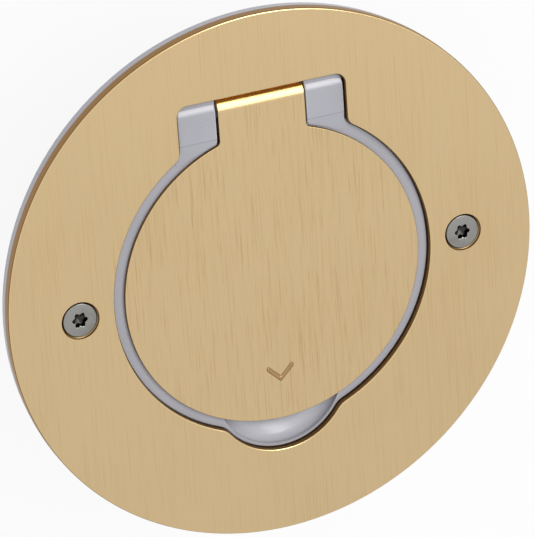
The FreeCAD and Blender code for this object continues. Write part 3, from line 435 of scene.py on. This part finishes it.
def slab(bm, rims):
    """Closed plate between rims; each is (arcs, side, profile) with side -1 for a hole."""
    bottom, top = [], []
    for arcs, side, profile in rims:
        rings = []
        for inset, z in profile:
            rings.append([bm.verts.new((x, y, z)) for x, y in outline(arcs, side * inset)])
        for lower, upper in zip(rings, rings[1:]):
            for i in range(len(lower)):
                j = (i + 1) % len(lower)
                bm.faces.new((lower[i], lower[j], upper[j], upper[i]))
        for ring, store in ((rings[0], bottom), (rings[-1], top)):
            store.extend(bm.edges.get((ring[i - 1], ring[i])) for i in range(len(ring)))
    for edges in (bottom, top):
        bmesh.ops.triangle_fill(bm, edges=edges, use_beauty=True, normal=(0, 0, 1))


def tangent(x, y, to_x, to_y):
    """Direction from one centre to another, in degrees."""
    return math.degrees(math.atan2(to_y - y, to_x - x))


# ---------------------------------------------------------------- outlines
def opening_arcs():
    """The opening, from the bottom of the finger dish up its right side and down its left."""
    # centre of the fillet between the dish's circle and the opening's
    d = OPEN_Y - DISH_Y
    a, b = DISH_R + DISH_FILLET_R, OPEN_R + DISH_FILLET_R
    along = (a ** 2 - b ** 2 + d ** 2) / (2 * d)
    fx, fy = math.sqrt(a ** 2 - along ** 2), DISH_Y + along
    # centre of the fillet between the opening's circle and its square end
    half = EAR_HALF + HINGE_PLAY
    ex = half + EAR_FILLET_R
    ey = OPEN_Y + math.sqrt((OPEN_R + EAR_FILLET_R) ** 2 - ex ** 2)
    dish_end = tangent(0, DISH_Y, fx, fy)
    round_start = tangent(0, OPEN_Y, fx, fy)
    round_end = tangent(0, OPEN_Y, ex, ey)
    end = HINGE_Y + EAR_ROUND_R + HINGE_PLAY
    return mirrored([
        (0, DISH_Y, DISH_R, -90, dish_end),
        (fx, fy, DISH_FILLET_R, dish_end + 180, round_start + 180),
        (0, OPEN_Y, OPEN_R, round_start, round_end),
        (ex, ey, EAR_FILLET_R, round_end + 180, 180),
        (half - EAR_CORNER_R, end - EAR_CORNER_R, EAR_CORNER_R, 0, 90),
    ])


def lid_arcs():
    ex = TAB_HALF + TAB_ROOT_R
    ey = math.sqrt((LID_R + TAB_ROOT_R) ** 2 - ex ** 2)
    end = tangent(0, 0, ex, ey)
    return mirrored([
        (0, 0, LID_R, -90, end),
        (ex, ey, TAB_ROOT_R, end + 180, 180),
        (TAB_HALF - TAB_END_R, HINGE_Y + LID_EDGE_R - TAB_END_R, TAB_END_R, 0, 90),
    ])


# ---------------------------------------------------------------- cover plate
def build_cover():
    bm = bmesh.new()
    wall = [(0, COVER_Z)] + rounded_break(EDGE_R, COVER_TOP, 5)
    cone = SINK_R - HOLE_R
    sink = [(0, COVER_Z), (cone - SINK_LIP, COVER_TOP - SINK_STEP),
            (cone - SINK_LIP + 0.02, COVER_TOP - SINK_LIP),
            (cone, COVER_TOP - 0.02), (cone + SINK_LIP, COVER_TOP)]
    rims = [(circle(COVER_R), 1, wall), (opening_arcs(), -1, wall)]
    for side in (-1, 1):
        rims.append((circle(HOLE_R, side * SCREW_X), -1, sink))
    slab(bm, rims)
    piece("cover_plate_brushed", bm, "cover", "brushed_brass", "box", "cover_plate")


# ---------------------------------------------------------------- lid plate
def rounded(points, r):
    """Arcs that round the corners of a polygon given anticlockwise."""
    arcs = []
    for i, point in enumerate(points):
        before = Vector(points[i - 1])
        after = Vector(points[(i + 1) % len(points)])
        here = Vector(point)
        came, goes = (here - before).normalized(), (after - here).normalized()
        hollow = came.cross(goes) < 0
        side = -1 if hollow else 1
        bisector = (goes - came).normalized()
        centre = here + bisector * (r / abs(bisector.cross(goes)))
        start = math.degrees(math.atan2(-side * came.x, side * came.y))
        sweep = math.degrees(math.acos(max(-1.0, min(1.0, came.dot(goes)))))
        arcs.append((centre.x, centre.y, r, start, start + side * sweep))
    return arcs


def sweep(bm, sections):
    """Joins closed loops of points, one after the other, and closes both ends."""
    loops = [[bm.verts.new(point) for point in section] for section in sections]
    for first, second in zip(loops, loops[1:]):
        for i in range(len(first)):
            bm.faces.new((first[i - 1], first[i], second[i], second[i - 1]))
    bm.faces.new(loops[0])
    bm.faces.new(loops[-1])


def roll(bm):
    """The tab's end, rolled down over the hinge's knuckle."""
    inner, corner_r = BARREL_R - LID_T, BARREL_R - LID_EDGE_R
    corner_x = TAB_HALF - LID_EDGE_R
    corner_steps, steps = 4, 48
    profile = [(-TAB_HALF, inner)]
    for side, first in ((-1, 180), (1, 90)):
        for i in range(corner_steps + 1):
            a = math.radians(first - 90 / corner_steps * i)
            profile.append((side * corner_x + LID_EDGE_R * math.cos(a),
                            corner_r + LID_EDGE_R * math.sin(a)))
    profile.append((TAB_HALF, inner))
    sections = []
    for i in range(steps + 1):
        a = math.radians(90 + (ROLL_END - 90) * i / steps)
        sections.append([(x, HINGE_Y + r * math.cos(a), HINGE_Z + r * math.sin(a))
                         for x, r in profile])
    sweep(bm, sections)


def mark(bm):
    """A low chevron on the lid that points at the finger dish."""
    wing = MARK_Y + MARK_HALF
    chevron = [(0, MARK_Y), (MARK_HALF, wing), (MARK_HALF, wing + MARK_W),
               (0, MARK_Y + MARK_W), (-MARK_HALF, wing + MARK_W), (-MARK_HALF, wing)]
    rise = lid_high.z - LID_TOP
    steps = 3
    wall = [(-MARK_ROOT, LID_TOP - LID_T / 4), (-MARK_ROOT, LID_TOP)]
    for i in range(steps + 1):
        wall.append((MARK_SLOPE * i / steps, LID_TOP + rise * math.sin(math.pi / 2 * i / steps)))
    slab(bm, [(rounded(chevron, MARK_CORNER_R), 1, wall)])


def build_lid():
    bm = bmesh.new()
    slab(bm, [(lid_arcs(), 1, [(0.0, LID_Z)] + rounded_break(LID_EDGE_R, LID_TOP, 4))])
    roll(bm)
    mark(bm)
    low = LID_Z - STUD_LEN
    stud_wall = [(STUD_BREAK, low), (0.0, low + STUD_BREAK), (0.0, LID_Z + LID_T / 2)]
    for angle in STUD_ANGLES:
        a = math.radians(angle)
        slab(bm, [(circle(STUD_R, STUD_AT * math.cos(a), STUD_AT * math.sin(a)), 1, stud_wall)])
    piece("lid_plate_brushed", bm, "lid", "brushed_brass", "lid", "lid_plate")


# ---------------------------------------------------------------- cover screws
def build_screw(side):
    """Countersunk screw with a six-lobe recess: rings from its tip up, over the head and in."""
    top, tip = screw_high.z, screw_low.z
    seat = top - HEAD_SIDE
    cone = SCREW_HEAD_R - SCREW_R
    end = top - RECESS_DEPTH

    def lobes(r, angle):
        return r * (1 + RECESS_LOBE / 2 * math.cos(6 * angle))

    # radius, height, and 1 where the ring has lobes
    rings = [(AXIS_R, tip, 0), (SCREW_R - SCREW_TIP, tip, 0), (SCREW_R, tip + SCREW_TIP, 0),
             (SCREW_R, seat - cone, 0), (SCREW_HEAD_R, seat, 0)]
    rings += [(SCREW_HEAD_R - inset, z, 0) for inset, z in rounded_break(HEAD_BREAK, top, 3)]
    rings += [(RECESS_R + 0.5, top, 0), (RECESS_R + 0.12, top, 1), (RECESS_R + 0.03, top - 0.05, 1),
              (RECESS_R, top - 0.16, 1), (RECESS_R * 0.93, end, 1),
              (RECESS_R * 0.5, end - 0.25, 0), (AXIS_R, end - 0.5, 0)]
    bm = bmesh.new()
    count = 120
    # the two recesses don't stand at the same angle
    angles = [TURN * i / count + side * 0.4 for i in range(count)]
    sections = []
    for r, z, lobed in rings:
        radii = [lobes(r, a) if lobed else r for a in angles]
        sections.append([(side * SCREW_X + q * math.cos(a), q * math.sin(a), z)
                         for q, a in zip(radii, angles)])
    sweep(bm, sections)
    name = "cover_screw_right" if side > 0 else "cover_screw_left"
    piece(name, bm, "steel_screw", "steel_screw", "box", "cover_screws")


build_cover()
build_lid()
for side in (-1, 1):
    build_screw(side)

# ---------------------------------------------------------------- camera
camera_data = bpy.data.cameras.new("camera")
camera_data.lens = 323.752
camera_data.sensor_width = 36.0
camera_data.clip_start = 0.01
camera_data.clip_end = 20.0
camera = bpy.data.objects.new("camera", camera_data)
bpy.context.scene.collection.objects.link(camera)
# the camera's own axes in the part's frame
right = Vector((0.92214859, -0.06553585, 0.38124405))
up = Vector((0.21356014, 0.90799311, -0.36047272))
back = Vector((-0.32254308, 0.41382794, 0.85130041))
turn = Matrix((right, up, back)).transposed().to_4x4()
stand = Vector((-0.35162, 0.45124, 0.92363 + COVER_TOP * MM))
camera.matrix_world = Matrix.Translation(stand) @ turn
bpy.context.scene.camera = camera

# ---------------------------------------------------------------- floor, lamps and world
FLOOR_HALF = 3000.0


def floor_material():
    """White floor that keeps a soft shadow."""
    kit = Kit(bpy.data.materials.new("floor_white"))
    path = kit.tree.nodes.new("ShaderNodeLightPath")
    seen = Wire(kit, path.outputs["Is Camera Ray"])
    for name in ("Is Glossy Ray", "Is Transmission Ray"):
        seen = seen + Wire(kit, path.outputs[name])
    mottle = kit.noise(kit.place(), 30.0)
    pale = kit.mix(mottle, (0.84, 0.84, 0.84, 1), (0.88, 0.88, 0.88, 1))
    matt = kit.node("BsdfDiffuse", {"Color": pale})
    glow = kit.node("Emission", {"Color": (1, 1, 1, 1), "Strength": 1.0})
    both = kit.node("MixShader", {"Fac": seen.clamped() * 0.9, 1: matt, 2: glow})
    output = kit.tree.nodes.new("ShaderNodeOutputMaterial")
    kit.tree.links.new(both.socket, output.inputs["Surface"])
    return kit.owner


def build_floor():
    bm = bmesh.new()
    bmesh.ops.create_grid(bm, x_segments=8, y_segments=8, size=FLOOR_HALF)
    bm.transform(Matrix.Translation((0, 0, cad_box[0].z / MM)))
    bm.transform(Matrix.Scale(MM, 4))
    mesh = bpy.data.meshes.new("floor")
    bm.to_mesh(mesh)
    bm.free()
    floor = bpy.data.objects.new("floor", mesh)
    bpy.context.scene.collection.objects.link(floor)
    mesh.materials.append(floor_material())


def lamp(name, place, size, power):
    """A rectangular lamp aimed at the origin."""
    data = bpy.data.lights.new(name, "AREA")
    data.shape = "RECTANGLE"
    data.size, data.size_y = size
    data.energy = power
    obj = bpy.data.objects.new(name, data)
    bpy.context.scene.collection.objects.link(obj)
    # the lamp's second side lies along Y, as nearly as its aim allows
    back = Vector(place).normalized()
    side = Vector((0, 1, 0)).cross(back).normalized()
    turn = Matrix((side, back.cross(side), back)).transposed().to_4x4()
    obj.matrix_world = Matrix.Translation(place) @ turn


def studio_world():
    """Soft room light: brighter overhead, a little darker towards the horizon."""
    world = bpy.data.worlds.new("studio")
    bpy.context.scene.world = world
    kit = Kit(world)
    height = kit.axes(kit.place("Generated"))[2]
    shade = kit.mix(height.step(-0.1, 0.9), (0.62, 0.62, 0.65, 1), (0.92, 0.92, 0.94, 1))
    sky = kit.node("Background", {"Color": shade, "Strength": 0.9})
    output = kit.tree.nodes.new("ShaderNodeOutputWorld")
    kit.tree.links.new(sky.socket, output.inputs["Surface"])


build_floor()
studio_world()
lamp("softbox", (0.33, 0.42, 0.8), (0.3, 0.8), 3.5)
bpy.context.scene.view_settings.view_transform = "Standard"
